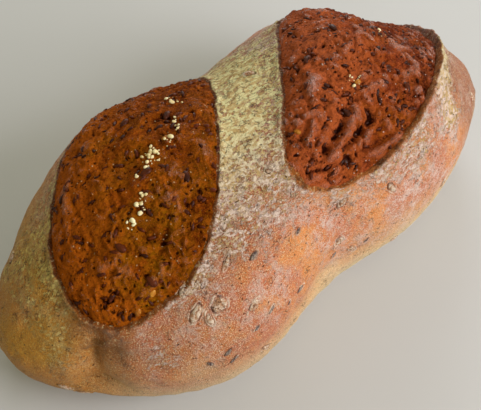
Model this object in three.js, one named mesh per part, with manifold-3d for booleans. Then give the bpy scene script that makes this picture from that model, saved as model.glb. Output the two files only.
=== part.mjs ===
// Rye bread loaf: a long, waisted hearth loaf, slashed twice on the slant before baking, so that
// two broad blooms of seedy crumb have torn open across its crown between floury strips of crust.
// Millimetres, +Z up. X runs along the loaf, -Y is its near side, and the origin is on the table
// under the middle of the loaf's bounding box.
import * as THREE from 'three';
import { mergeVertices } from 'three/addons/utils/BufferGeometryUtils.js';
import Module from 'manifold-3d';

const wasm = await Module();
wasm.setup();

// Crust: the body between two ends, given at five even stations from the left end to the right.
// boxMiddle is where the middle of its bounding box falls, away from the axis it is drawn about.
const loafLength = 290;
const boxMiddle = [0.1, 3.1];
const crownHeights = [81, 93, 93, 98, 77];
const farHalfWidths = [66, 83, 66, 88, 73];
const nearHalfWidths = [72, 81, 59, 66, 67];
const girthLevel = 34;
const undersideDepth = 40;
const planRoundness = 1.87;
const crownRoundness = 2.05;
const undersideRoundness = 3.2;
const crustDetail = 15;
const crownCrowding = 0.3;
const crustUnevenness = 0.9;
const crustUnevenSpan = 62;

// Blooms: tips as [place along the loaf from -1 to 1, roll in degrees from the crown to the far
// side]. Widths, bend and taper are in the flat map that each bloom is laid out on, and the rest
// is in millimetres. A lip, and the shoulder of crust behind it, is highest round highLipSide, in
// degrees about the bloom from its far tip by way of its right side. A dip is where the far crumb
// has sunk again, at a place and with a spread in shares of the bloom.
const leftBloom = {
  nearTip: [-0.581, -38.6],
  farTip: [-0.141, 66],
  halfWidth: 0.329,
  taper: -0.086,
  belly: 0.13,
  bend: 0.179,
  squareness: 2.69,
  swell: 8,
  lean: 0.1,
  lipHeight: 0.9,
  highLip: 0.6,
  highLipSide: -150,
  rimDrop: 0.8,
  highLipDrop: 0.8,
  shoulder: 0.8,
  dip: { place: [0.55, 0.3], spread: 0.5, depth: 2 },
};
const rightBloom = {
  nearTip: [0.049, -44.8],
  farTip: [0.692, 66],
  halfWidth: 0.379,
  taper: 0.212,
  belly: 0.725,
  bend: -0.164,
  squareness: 1.65,
  swell: 6.5,
  lean: 1,
  lipHeight: 0.8,
  highLip: 1.6,
  highLipSide: 85,
  rimDrop: 0.8,
  highLipDrop: 2.6,
  shoulder: 4,
  dip: { place: [0.5, 0.05], spread: 0.42, depth: 5 },
};
const crumbRings = 16;
const crumbEdge = 0.985;
const rimShares = [1.005, 1.045, 1.12, 1.34];
const tornEdgeShare = 0.7;
const rimSkirt = 0.15;
const rimFoot = -1;
const bloomRootDepth = 14;
const bloomHollow = 5;
const hollowFrom = 1.08;
const hollowTo = 0.98;
const shoulderSpread = 0.3;
const swellRoundness = 0.7;
const crumbUnevenness = 1.1;
const crumbUnevenSpan = 26;

// Three waves, each by its pull along X, Y and Z and its start, that make the surface uneven.
const waves = [
  { x: 0.9, y: 0.5, z: 0, start: 1 },
  { x: 0, y: 0.8, z: -0.6, start: 2 },
  { x: 0.68, y: -1.53, z: 0.51, start: 0.5 },
];
const fineWaveShare = 0.6;

// Tears in the blooms: [along, across] from the bloom's middle at both ends and half way, with a
// height for a raised ridge and a depth for a rift. Half widths, heights and depths in mm.
const ridges = [
  { bloom: rightBloom, path: [[-0.82, -0.16], [-0.66, -0.04], [-0.4, -0.28]], halfWidth: 2.6, height: 2 },
  { bloom: rightBloom, path: [[-0.88, 0.12], [-0.78, 0.38], [-0.5, 0.62]], halfWidth: 2.4, height: 1.6 },
  { bloom: rightBloom, path: [[-0.44, -0.1], [-0.36, 0.12], [-0.4, 0.34]], halfWidth: 2.2, height: 1.6 },
  { bloom: leftBloom, path: [[-0.84, -0.2], [-0.8, 0.16], [-0.6, 0.46]], halfWidth: 2.2, height: 1.4 },
  { bloom: leftBloom, path: [[-0.5, -0.6], [-0.15, -0.68], [0.2, -0.55]], halfWidth: 2.2, height: 1.2 },
];
const rifts = [
  { bloom: rightBloom, path: [[-0.76, -0.4], [-0.82, -0.05], [-0.66, 0.4]], halfWidth: 1.8, depth: 2.2 },
  { bloom: rightBloom, path: [[-0.74, 0.06], [-0.54, -0.02], [-0.46, 0.3]], halfWidth: 1.8, depth: 2.4 },
  { bloom: leftBloom, path: [[0.06, 0.3], [0.1, 0.44], [0.02, 0.58]], halfWidth: 1.8, depth: 2 },
  { bloom: leftBloom, path: [[-0.16, 0.38], [-0.08, 0.48], [-0.12, 0.6]], halfWidth: 2.4, depth: 2 },
  { bloom: leftBloom, path: [[-0.78, -0.16], [-0.72, 0.16], [-0.52, 0.4]], halfWidth: 1.6, depth: 1.8 },
];

// Creases in the crust: where the dough folded at the left end, and the slack of the near waist.
const creases = [
  { from: [-0.76, -37], to: [-0.79, -57], depth: 3.5, spread: 0.05 },
  { from: [-0.79, -57], to: [-0.8, -98], depth: 8.5, spread: 0.07 },
  { from: [0.03, -50], to: [-0.02, -92], depth: 3, spread: 0.16 },
];
const tearSides = 6;
const tearSteps = 8;
const tearSeat = 0.5;
const tangentStep = 0.02;
const foldPath = [[-0.755, -38], [-0.785, -56], [-0.8, -86]];
const foldHalfWidth = 1.8;
const foldDepth = 3;

// Seeds: dark ones baked into the blooms, sunflower seeds and oat flakes on the near and far crust.
const bloomSeeds = {
  perBloom: 11,
  length: 5.6,
  width: 3.2,
  thickness: 2.2,
  edgeRoom: 0.88,
  firstPlace: 0.3,
  placeJitter: 0.4,
  angleJitter: 0.5,
};
const crustSeeds = {
  tried: 90,
  keptShare: 0.45,
  length: 9.5,
  width: 4.8,
  thickness: 2.8,
  smallest: 0.75,
  growth: 0.35,
  clearance: 1.2,
  lowest: 16,
  angleJitter: 0.8,
};
// Where each quality of a seed starts reading the scatter values, so that none repeats another.
const scatterFrom = {
  bloomAngle: 100,
  bloomTurn: 200,
  crustAngle: 300,
  crustKept: 400,
  crustSize: 500,
  crustTurn: 600,
};
const seedSides = 6;
const seedSteps = 3;
const seedLift = 0.02;
const goldenAngle = Math.PI * (3 - Math.sqrt(5));

const xAxis = new THREE.Vector3(1, 0, 0);
const outwardFlatness = 0.35;
const narrowestHalfWidth = 0.05;
const mergeTolerance = 1e-4;
const farSideGuard = 1e-6;

// A repeatable scatter value from 0 to 1 for each whole number.
function scatter(index) {
  const value = Math.sin(index * 12.9898 + 78.233) * 43758.5453;
  return value - Math.floor(value);
}

// A smooth curve through values spaced evenly from place -1 to place 1.
function atStation(values, place) {
  const last = values.length - 1;
  const along = THREE.MathUtils.clamp((place + 1) / 2, 0, 1) * last;
  const index = Math.min(Math.floor(along), last - 1);
  const t = along - index;
  const before = values[Math.max(index - 1, 0)];
  const start = values[index];
  const end = values[index + 1];
  const after = values[Math.min(index + 2, last)];
  const slopeIn = (end - before) / 2;
  const slopeOut = (after - start) / 2;
  const cubic = 2 * start - 2 * end + slopeIn + slopeOut;
  const square = -3 * start + 3 * end - 2 * slopeIn - slopeOut;
  return ((cubic * t + square) * t + slopeIn) * t + start;
}

// Slow, uneven swelling between about -1 and 1, from crossed waves.
function unevenness(point, span) {
  const k = (2 * Math.PI) / span;
  const [first, second, fine] = waves.map((wave) => {
    const pull = wave.x * point.x + wave.y * point.y + wave.z * point.z;
    return Math.sin(k * pull + wave.start);
  });
  return (first * second + fineWaveShare * fine) / (1 + fineWaveShare);
}

function direction(along, roll) {
  const angle = THREE.MathUtils.degToRad(roll);
  const across = Math.sqrt(1 - along * along);
  return new THREE.Vector3(along, across * Math.sin(angle), across * Math.cos(angle));
}

// The point of the plain body that a unit direction leads to.
function bodyPoint(dir) {
  const ax = Math.abs(dir.x);
  const ay = Math.abs(dir.y);
  const az = Math.abs(dir.z);
  const plan = Math.pow(Math.pow(ax, planRoundness) + Math.pow(ay, planRoundness), 1 / planRoundness);
  const roundness = dir.z > 0 ? crownRoundness : undersideRoundness;
  const reach = Math.pow(Math.pow(plan, roundness) + Math.pow(az, roundness), 1 / roundness);
  const place = dir.x / reach;
  const across = dir.y / reach;
  const up = dir.z / reach;
  const halfWidth = atStation(across > 0 ? farHalfWidths : nearHalfWidths, place);
  const rise = up > 0 ? atStation(crownHeights, place) - girthLevel : undersideDepth;
  return new THREE.Vector3((place * loafLength) / 2, across * halfWidth, girthLevel + up * rise);
}

function outward(dir) {
  return new THREE.Vector3(dir.x * outwardFlatness, dir.y, dir.z).normalize();
}

// Depth of the creases at a direction.
function creaseDepth(dir) {
  let depth = 0;
  for (const crease of creases) {
    const from = direction(...crease.from);
    const run = direction(...crease.to).sub(from);
    const t = THREE.MathUtils.clamp(dir.clone().sub(from).dot(run) / run.lengthSq(), 0, 1);
    const distance = dir.distanceTo(from.addScaledVector(run, t));
    depth = Math.max(depth, crease.depth * Math.exp(-Math.pow(distance / crease.spread, 2)));
  }
  return depth;
}

// The point at a height over the crust, with its unevenness, creases and shoulders.
function overCrust(dir, height) {
  const point = bodyPoint(dir);
  const rough = crustUnevenness * unevenness(point, crustUnevenSpan);
  const rise = rough + shoulderHeight(dir) - creaseDepth(dir);
  return point.addScaledVector(outward(dir), rise + height);
}

// The flat map of a bloom: stereographic about the middle of its cut.
for (const bloom of [leftBloom, rightBloom]) {
  const near = direction(...bloom.nearTip);
  const far = direction(...bloom.farTip);
  bloom.middle = near.clone().add(far).normalize();
  bloom.along = far.clone().sub(near);
  bloom.along.addScaledVector(bloom.middle, -bloom.along.dot(bloom.middle)).normalize();
  bloom.across = bloom.along.clone().cross(bloom.middle);
  bloom.reach = (2 * far.dot(bloom.along)) / (1 + far.dot(bloom.middle));
}

function bloomHalfWidth(bloom, along) {
  const widening = 1 + bloom.taper * along + bloom.belly * along * along;
  return Math.max(bloom.halfWidth * widening, narrowestHalfWidth);
}

// The direction of the place (along, across) on a bloom, both from -1 to 1.
function bloomDirection(bloom, along, across) {
  const p = along * bloom.reach;
  const q = across * bloomHalfWidth(bloom, along) + bloom.bend * (1 - along * along);
  const square = p * p + q * q;
  const dir = bloom.middle.clone().multiplyScalar(4 - square);
  dir.addScaledVector(bloom.along, 4 * p);
  dir.addScaledVector(bloom.across, 4 * q);
  return dir.normalize();
}

// The place at a share of the way from a bloom's middle to its outline, 1 being the outline.
function bloomPlace(bloom, share, angle) {
  const c = Math.cos(angle);
  const s = Math.sin(angle);
  const n = bloom.squareness;
  const round = Math.pow(Math.pow(Math.abs(c), n) + Math.pow(Math.abs(s), n), 1 / n);
  return [(share * c) / round, (share * s) / round];
}

// The place on a bloom's map that a direction leads to.
function mapPlace(bloom, dir) {
  const scale = 2 / (1 + dir.dot(bloom.middle) + farSideGuard);
  const along = (dir.dot(bloom.along) * scale) / bloom.reach;
  const offset = dir.dot(bloom.across) * scale - bloom.bend * (1 - along * along);
  return [along, offset / bloomHalfWidth(bloom, along)];
}

// How far out a place lies on a bloom, as a share of the way to its outline.
function placeShare(bloom, [along, across]) {
  const n = bloom.squareness;
  return Math.pow(Math.pow(Math.abs(along), n) + Math.pow(Math.abs(across), n), 1 / n);
}

function bloomShare(bloom, dir) {
  return placeShare(bloom, mapPlace(bloom, dir));
}

function highLipShare(bloom, angle) {
  const turn = angle - THREE.MathUtils.degToRad(bloom.highLipSide);
  return Math.pow(Math.cos(turn / 2), 4);
}

// How much the crust behind the lips is pushed up.
function shoulderHeight(dir) {
  let height = 0;
  for (const bloom of [leftBloom, rightBloom]) {
    const [along, across] = mapPlace(bloom, dir);
    const away = (placeShare(bloom, [along, across]) - 1) / shoulderSpread;
    height += bloom.shoulder * highLipShare(bloom, Math.atan2(across, along)) * Math.exp(-away * away);
  }
  return height;
}

function dipDepth(bloom, along, across) {
  const { place, spread, depth } = bloom.dip;
  const away = Math.hypot(along - place[0], across - place[1]) / spread;
  return depth * Math.exp(-away * away);
}

// Height of the crumb over the crust: sunk at the rim, swollen in the middle.
function crumbHeight(bloom, share, angle) {
  const [along, across] = bloomPlace(bloom, share, angle);
  const dome = Math.pow(Math.max(0, 1 - share * share), swellRoundness);
  const drop = bloom.rimDrop + bloom.highLipDrop * highLipShare(bloom, angle);
  const lean = 1 - bloom.lean * across;
  const point = bodyPoint(bloomDirection(bloom, along, across));
  const rough = crumbUnevenness * unevenness(point, crumbUnevenSpan);
  const swollen = bloom.swell * lean + rough - dipDepth(bloom, along, across);
  return swollen * dome - drop * (1 - dome);
}

// Moves every corner of a geometry and closes it into a solid.
function solidFrom(geometry, move) {
  const plain = geometry.clone();
  plain.deleteAttribute('normal');
  plain.deleteAttribute('uv');
  const positions = plain.attributes.position;
  const corner = new THREE.Vector3();
  for (let i = 0; i < positions.count; i += 1) {
    const moved = move(corner.fromBufferAttribute(positions, i));
    positions.setXYZ(i, moved.x, moved.y, moved.z);
  }
  const merged = mergeVertices(plain, mergeTolerance);
  const mesh = new wasm.Mesh({
    numProp: 3,
    vertProperties: new Float32Array(merged.attributes.position.array),
    triVerts: new Uint32Array(merged.index.array),
  });
  return new wasm.Manifold(mesh);
}

// The crust, hollowed under the blooms that fill it again.
function crustSolid() {
  const ball = new THREE.IcosahedronGeometry(1, crustDetail);
  return solidFrom(ball, (corner) => {
    const dir = corner.clone().setZ(corner.z + crownCrowding).normalize();
    const share = Math.min(bloomShare(leftBloom, dir), bloomShare(rightBloom, dir));
    const hollow = THREE.MathUtils.smoothstep(-share, -hollowFrom, -hollowTo);
    return overCrust(dir, -bloomHollow * hollow);
  });
}

// Height of a bloom at a ring: its crumb, then the torn lip of the crust and the lip's foot.
function bloomHeight(bloom, ring, angle) {
  const lip = bloom.lipHeight + bloom.highLip * highLipShare(bloom, angle);
  const rimHeights = [tornEdgeShare * lip, lip, rimSkirt, rimFoot];
  const onCrumb = ring <= crumbRings;
  return onCrumb ? crumbHeight(bloom, ringShare(ring), angle) : rimHeights[ring - crumbRings - 1];
}

function ringShare(ring) {
  return ring > crumbRings ? rimShares[ring - crumbRings - 1] : (crumbEdge * ring) / crumbRings;
}

// A bloom with its lip, from an octahedron whose rings of corners are laid out over the bloom. Its
// lower half is the root that joins it to the loaf.
function bloomSolid(bloom) {
  const rings = crumbRings + rimShares.length;
  const lens = new THREE.OctahedronGeometry(1, rings - 1);
  return solidFrom(lens, (corner) => {
    const level = Math.abs(corner.x) + Math.abs(corner.y);
    const ring = Math.round((rings * level) / (level + Math.abs(corner.z)));
    const quarter = ring > 0 ? (Math.abs(corner.x) / level) * (Math.PI / 2) : 0;
    const toRight = Math.sin(quarter) * Math.sign(corner.x);
    const toFar = Math.cos(quarter) * Math.sign(corner.y);
    const turned = ring > 0 ? Math.atan2(toRight, toFar) : 0;
    const [along, across] = bloomPlace(bloom, ringShare(ring), turned);
    const onTop = corner.z > 0 || ring === rings;
    const height = onTop ? bloomHeight(bloom, ring, turned) : -bloomRootDepth;
    return overCrust(bloomDirection(bloom, along, across), height);
  });
}

// A spindle that tapers to nothing at both ends and follows a path over the surface.
function spindle(surfacePoint, halfWidth, height) {
  const ball = new THREE.SphereGeometry(1, tearSides, tearSteps);
  return solidFrom(ball, (corner) => {
    const t = 0.5 + Math.asin(THREE.MathUtils.clamp(corner.y, -1, 1)) / Math.PI;
    const here = surfacePoint(t);
    const behind = surfacePoint(Math.max(t - tangentStep, 0)).point;
    const ahead = surfacePoint(Math.min(t + tangentStep, 1)).point.sub(behind);
    const side = ahead.cross(here.out).normalize();
    here.point.addScaledVector(side, corner.x * halfWidth);
    return here.point.addScaledVector(here.out, corner.z * height);
  });
}

// A point on the curve through three places, 0 to 1 along it.
function onPath(path, t) {
  const [start, middle, end] = path;
  const mix = (axis) => {
    const control = 2 * middle[axis] - (start[axis] + end[axis]) / 2;
    return (1 - t) * (1 - t) * start[axis] + 2 * t * (1 - t) * control + t * t * end[axis];
  };
  return [mix(0), mix(1)];
}

// A ridge is seated a little in the crumb and a rift a little over it, so neither leaves a tunnel.
function tear({ bloom, path, halfWidth, height = 0, depth = 0 }) {
  const seat = height > 0 ? -tearSeat : tearSeat;
  const follow = (t) => {
    const [along, across] = onPath(path, t);
    const share = placeShare(bloom, [along, across]);
    const dir = bloomDirection(bloom, along, across);
    const lift = crumbHeight(bloom, share, Math.atan2(across, along)) + seat;
    return { point: overCrust(dir, lift), out: outward(dir) };
  };
  return spindle(follow, halfWidth, height + depth + tearSeat);
}

function endFold() {
  const follow = (t) => {
    const dir = direction(...onPath(foldPath, t));
    return { point: overCrust(dir, tearSeat), out: outward(dir) };
  };
  return spindle(follow, foldHalfWidth, foldDepth + tearSeat);
}

// A seed lying on a point, turned about the way out of the loaf.
function seed(point, out, turn, size) {
  const grain = new THREE.SphereGeometry(1, seedSides, seedSteps);
  const level = new THREE.Vector3().crossVectors(xAxis, out).normalize();
  const lengthwise = level.applyAxisAngle(out, turn);
  const crosswise = new THREE.Vector3().crossVectors(lengthwise, out);
  return solidFrom(grain, (corner) => {
    const place = point.clone().addScaledVector(out, (corner.z * 0.5 + seedLift) * size.thickness);
    place.addScaledVector(lengthwise, corner.y * size.length * 0.5);
    return place.addScaledVector(crosswise, corner.x * size.width * 0.5);
  });
}

// Dark seeds spread evenly over a bloom in a sunflower spiral, each a little off its place.
function seedsOnBloom(bloom) {
  const seeds = [];
  for (let i = 0; i < bloomSeeds.perBloom; i += 1) {
    const count = i + bloomSeeds.firstPlace + bloomSeeds.placeJitter * scatter(i);
    const share = bloomSeeds.edgeRoom * Math.sqrt(count / bloomSeeds.perBloom);
    const angle = i * goldenAngle + bloomSeeds.angleJitter * scatter(i + scatterFrom.bloomAngle);
    const [along, across] = bloomPlace(bloom, share, angle);
    const wrapped = Math.atan2(Math.sin(angle), Math.cos(angle));
    const dir = bloomDirection(bloom, along, across);
    const point = overCrust(dir, crumbHeight(bloom, share, wrapped));
    const turn = Math.PI * scatter(i + scatterFrom.bloomTurn);
    seeds.push(seed(point, outward(dir), turn, bloomSeeds));
  }
  return seeds;
}

// Larger seeds on the sides of the crust, even over the whole body and left out near the blooms.
function seedsOnCrust() {
  const seeds = [];
  for (let i = 0; i < crustSeeds.tried; i += 1) {
    const height = 1 - (2 * (i + 0.5)) / crustSeeds.tried;
    const around = i * goldenAngle + crustSeeds.angleJitter * scatter(i + scatterFrom.crustAngle);
    const level = Math.sqrt(1 - height * height);
    const dir = new THREE.Vector3(level * Math.cos(around), level * Math.sin(around), height);
    const share = Math.min(bloomShare(leftBloom, dir), bloomShare(rightBloom, dir));
    const point = overCrust(dir, 0);
    const clear = share > crustSeeds.clearance && point.z > crustSeeds.lowest;
    if (clear && scatter(i + scatterFrom.crustKept) < crustSeeds.keptShare) {
      const grow = crustSeeds.smallest + crustSeeds.growth * scatter(i + scatterFrom.crustSize);
      const size = {
        length: crustSeeds.length * grow,
        width: crustSeeds.width * grow,
        thickness: crustSeeds.thickness,
      };
      const turn = Math.PI * scatter(i + scatterFrom.crustTurn);
      seeds.push(seed(point, outward(dir), turn, size));
    }
  }
  return seeds;
}

// A block under the table line, which leaves the loaf a flat base.
function tableBlock() {
  const block = new THREE.BoxGeometry(2 * loafLength, 2 * loafLength, 2 * undersideDepth);
  return solidFrom(block, (corner) => corner.clone().setZ(corner.z - undersideDepth));
}

function loafSolid() {
  let loaf = crustSolid();
  for (const bloom of [leftBloom, rightBloom]) {
    loaf = loaf.add(bloomSolid(bloom));
  }
  for (const ridge of ridges) {
    loaf = loaf.add(tear(ridge));
  }
  for (const rift of rifts) {
    loaf = loaf.subtract(tear(rift));
  }
  loaf = loaf.subtract(endFold());
  for (const grain of [...seedsOnBloom(leftBloom), ...seedsOnBloom(rightBloom), ...seedsOnCrust()]) {
    loaf = loaf.add(grain);
  }
  return loaf.subtract(tableBlock());
}

function geometryFrom(solid) {
  const mesh = solid.getMesh();
  const geometry = new THREE.BufferGeometry();
  geometry.setAttribute('position', new THREE.BufferAttribute(new Float32Array(mesh.vertProperties), 3));
  geometry.setIndex(new THREE.BufferAttribute(new Uint32Array(mesh.triVerts), 1));
  geometry.computeVertexNormals();
  return geometry;
}

const ryeCrust = new THREE.MeshStandardMaterial({ color: 0xb07a52, roughness: 0.75, metalness: 0 });

const ryeLoaf = new THREE.Group();
const loafMesh = new THREE.Mesh(geometryFrom(loafSolid()), ryeCrust);
loafMesh.name = 'loaf';
loafMesh.position.set(-boxMiddle[0], -boxMiddle[1], 0);
ryeLoaf.add(loafMesh);

export default ryeLoaf;
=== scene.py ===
import math

import bpy
import numpy as np
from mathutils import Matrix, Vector


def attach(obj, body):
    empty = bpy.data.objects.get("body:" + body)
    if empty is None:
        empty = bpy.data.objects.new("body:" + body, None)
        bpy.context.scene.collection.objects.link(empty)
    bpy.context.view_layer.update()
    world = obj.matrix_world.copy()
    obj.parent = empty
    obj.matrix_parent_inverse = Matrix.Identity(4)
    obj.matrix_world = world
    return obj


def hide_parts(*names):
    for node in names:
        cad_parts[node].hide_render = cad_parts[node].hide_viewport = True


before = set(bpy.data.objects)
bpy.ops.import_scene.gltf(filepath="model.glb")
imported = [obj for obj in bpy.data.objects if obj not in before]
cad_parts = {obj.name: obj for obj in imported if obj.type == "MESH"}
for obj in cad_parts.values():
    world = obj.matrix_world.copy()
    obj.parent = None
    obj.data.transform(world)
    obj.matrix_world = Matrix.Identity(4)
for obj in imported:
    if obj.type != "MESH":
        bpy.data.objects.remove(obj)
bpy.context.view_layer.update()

# the loaf's form in millimetres: X along it, Y toward its far side, Z up
loafForm = {
    "length": 290.0,
    "boxMiddle": (0.1, 3.1),
    "crownHeights": (81, 93, 93, 98, 77),  # five even stations, left end to right end
    "farHalfWidths": (66, 83, 66, 88, 73),
    "nearHalfWidths": (72, 81, 59, 66, 67),
    "girthLevel": 34.0,
    "undersideDepth": 40.0,
    "planRoundness": 1.87,
    "crownRoundness": 2.05,
    "undersideRoundness": 3.2,
    "unevenness": 0.9,
    "unevenSpan": 62.0,
    "shoulderSpread": 0.3,
    "creases": (  # from, to, depth, spread; a place is (share along the loaf, roll in degrees)
        ((-0.76, -37), (-0.79, -57), 3.5, 0.05),
        ((-0.78, -54), (-0.82, -98), 7.5, 0.09),
        ((0.03, -50), (-0.02, -92), 3.0, 0.16),
    ),
    "foldPath": ((-0.75, -40), (-0.8, -54), (-0.83, -86)),
    "foldWidth": 2.8,
    "foldDepth": 3.4,
}

# the two torn blooms; ridges and rifts are (path on the bloom, half width, height or depth)
leftBloom = {
    "nearTip": (-0.581, -38.6), "farTip": (-0.141, 66), "halfWidth": 0.329, "taper": -0.086,
    "belly": 0.13, "bend": 0.179, "squareness": 2.69, "swell": 8.0, "lean": 0.1,
    "lipHeight": 0.7, "highLip": 0.6, "highLipSide": -150, "rimDrop": 0.4, "highLipDrop": 0.6,
    "shoulder": 0.8, "dip": ((0.55, 0.3), 0.5, 2.0), "seed": 11,
    "foldGain": (0.6, 0.75), "strands": 0.45, "farShade": 0.0,
    "ridges": (
        (((-0.84, -0.2), (-0.8, 0.16), (-0.6, 0.46)), 2.2, 1.4),
        (((-0.5, -0.6), (-0.15, -0.68), (0.2, -0.55)), 2.2, 1.2),
    ),
    "rifts": (
        (((0.06, 0.3), (0.1, 0.44), (0.02, 0.58)), 1.8, 2.0),
        (((-0.16, 0.38), (-0.08, 0.48), (-0.12, 0.6)), 2.4, 2.0),
        (((-0.78, -0.16), (-0.72, 0.16), (-0.52, 0.4)), 1.6, 1.8),
    ),
}
rightBloom = {
    "nearTip": (0.049, -44.8), "farTip": (0.692, 66), "halfWidth": 0.379, "taper": 0.212,
    "belly": 0.725, "bend": -0.164, "squareness": 1.65, "swell": 6.5, "lean": 1.0,
    "lipHeight": 0.8, "highLip": 1.6, "highLipSide": 85, "rimDrop": 0.6, "highLipDrop": 1.5,
    "shoulder": 4.0, "dip": ((0.5, 0.05), 0.42, 5.0), "seed": 29,
    # farShade: how much painted shade darkens the far end of the crumb
    "foldGain": (1.0, 1.5), "strands": 0.0, "farShade": 0.55,
    "ridges": (
        (((-0.45, -0.07), (-0.56, -0.08), (-0.65, -0.1), (-0.71, -0.14), (-0.79, -0.17)), 1.9, 3.0),
        (((-0.81, 0.08), (-0.78, 0.19), (-0.76, 0.31), (-0.72, 0.45), (-0.64, 0.6)), 1.9, 2.2),
        (((-0.44, -0.6), (-0.58, -0.48), (-0.66, -0.46), (-0.75, -0.32)), 1.8, 2.0),
        (((-0.52, 0.25), (-0.63, 0.2), (-0.69, 0.12), (-0.75, 0.0)), 1.6, 1.8),
        (((-0.44, -0.1), (-0.36, 0.12), (-0.4, 0.34)), 2.2, 1.8),
    ),
    "rifts": (
        (((-0.4, -0.31), (-0.54, -0.18), (-0.63, -0.18), (-0.7, -0.23), (-0.79, -0.22)), 1.5, 2.8),
        (((-0.4, -0.12), (-0.49, 0.04), (-0.57, 0.15), (-0.64, 0.06), (-0.72, -0.02), (-0.8, -0.08)), 1.5, 3.0),
        (((-0.8, -0.45), (-0.84, -0.18), (-0.82, -0.02), (-0.77, 0.15), (-0.71, 0.35), (-0.6, 0.54)), 1.5, 3.0),
        (((-0.76, -0.34), (-0.65, -0.41), (-0.56, -0.34)), 1.5, 2.4),
        (((-0.3, -0.7), (-0.46, -0.58), (-0.55, -0.55), (-0.64, -0.58)), 1.3, 1.6),
    ),
}
blooms = (leftBloom, rightBloom)


# repeatable noise on arrays of points

def scatter(index):
    value = np.sin(np.asarray(index, float) * 12.9898 + 78.233) * 43758.5453
    return value - np.floor(value)


def hashed(cell, seed):
    x, y, z = cell.T
    h = (x * 374761393 + y * 668265263 + z * 1440662683 + seed * 1013904223) & 0xFFFFFFFF
    h = ((h ^ (h >> 13)) * 1274126177) & 0xFFFFFFFF
    h = ((h ^ (h >> 16)) * 2246822519) & 0xFFFFFFFF
    return ((h ^ (h >> 15)) & 0xFFFFFF) / 16777215.0


def noise(points, span, seed=0):  # smooth, -1 to 1, lumps about one span apart
    q = points / span
    cell = np.floor(q).astype(np.int64)
    f = q - cell
    f = f * f * f * (f * (f * 6 - 15) + 10)
    total = np.zeros(len(points))
    for corner in np.ndindex(2, 2, 2):
        share = np.where(corner, f, 1 - f)
        total += share[:, 0] * share[:, 1] * share[:, 2] * hashed(cell + corner, seed)
    return total * 2 - 1


def cellNoise(points, span, seed=0):  # distances to the two nearest scattered points, and a value each
    q = points / span
    nearest = np.full(len(points), 9.0)
    second = np.full(len(points), 9.0)
    chosen = np.zeros(len(points))
    for step in np.ndindex(3, 3, 3):
        cell = np.floor(q).astype(np.int64) + step - 1
        spot = cell + np.stack([hashed(cell, seed + k) for k in (1, 2, 3)], 1)
        away = np.linalg.norm(spot - q, axis=1)
        closer = away < nearest
        second = np.where(closer, nearest, np.minimum(second, away))
        chosen = np.where(closer, hashed(cell, seed + 4), chosen)
        nearest = np.where(closer, away, nearest)
    return nearest, second, chosen


def ease(value, low, high):
    t = unit((value - low) / (high - low))
    return t * t * (3 - 2 * t)


def unit(value):
    return np.clip(value, 0, 1)


def bump(away, width):
    return np.exp(-(away / width) ** 2)


def normalised(vectors):
    return vectors / np.linalg.norm(vectors, axis=-1, keepdims=True)


# the loaf's surface

def atStation(values, place):
    v = np.asarray(values, float)
    last = len(v) - 1
    along = unit((place + 1) / 2) * last
    i = np.minimum(np.floor(along).astype(int), last - 1)
    t = along - i
    before, start, end, after = v[np.maximum(i - 1, 0)], v[i], v[i + 1], v[np.minimum(i + 2, last)]
    slopeIn, slopeOut = (end - before) / 2, (after - start) / 2
    cubic = 2 * start - 2 * end + slopeIn + slopeOut
    square = -3 * start + 3 * end - 2 * slopeIn - slopeOut
    return ((cubic * t + square) * t + slopeIn) * t + start


def unevenness(points, span):
    k = 2 * math.pi / span
    x, y, z = points.T
    first = np.sin(k * (0.9 * x + 0.5 * y) + 1)
    second = np.sin(k * (0.8 * y - 0.6 * z) + 2)
    fine = np.sin(k * (0.68 * x - 1.53 * y + 0.51 * z) + 0.5)
    return (first * second + 0.6 * fine) / 1.6


def direction(along, roll):
    angle = math.radians(roll)
    across = math.sqrt(1 - along * along)
    return np.array([along, across * math.sin(angle), across * math.cos(angle)])


def bodyPoint(dirs, form=loafForm):
    size = np.abs(dirs)
    n = form["planRoundness"]
    plan = (size[:, 0] ** n + size[:, 1] ** n) ** (1 / n)
    m = np.where(dirs[:, 2] > 0, form["crownRoundness"], form["undersideRoundness"])
    reach = (plan ** m + size[:, 2] ** m) ** (1 / m)
    place, across, up = (dirs / reach[:, None]).T
    far, near = atStation(form["farHalfWidths"], place), atStation(form["nearHalfWidths"], place)
    rise = np.where(up > 0, atStation(form["crownHeights"], place) - form["girthLevel"], form["undersideDepth"])
    return np.stack([place * form["length"] / 2, across * np.where(across > 0, far, near),
                     form["girthLevel"] + up * rise], 1)


def outward(dirs):
    return normalised(dirs * np.array([0.35, 1, 1]))


for bloom in blooms:
    near, far = direction(*bloom["nearTip"]), direction(*bloom["farTip"])
    middle = normalised(near + far)
    lengthwise = far - near
    lengthwise = normalised(lengthwise - middle * (lengthwise @ middle))
    bloom["middle"], bloom["along"], bloom["across"] = middle, lengthwise, np.cross(lengthwise, middle)
    bloom["reach"] = 2 * (far @ lengthwise) / (1 + far @ middle)


def mapHalfWidth(bloom, along):
    return np.maximum(bloom["halfWidth"] * (1 + bloom["taper"] * along + bloom["belly"] * along ** 2), 0.05)


def mapPlace(bloom, dirs):
    scale = 2 / (1 + dirs @ bloom["middle"] + 1e-6)
    along = (dirs @ bloom["along"]) * scale / bloom["reach"]
    across = ((dirs @ bloom["across"]) * scale - bloom["bend"] * (1 - along ** 2)) / mapHalfWidth(bloom, along)
    return along, across


def mapShare(bloom, along, across):
    n = bloom["squareness"]
    return (np.abs(along) ** n + np.abs(across) ** n) ** (1 / n)


def bloomShares(dirs):  # under 1 within each bloom
    return [mapShare(bloom, *mapPlace(bloom, dirs)) for bloom in blooms]


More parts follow.
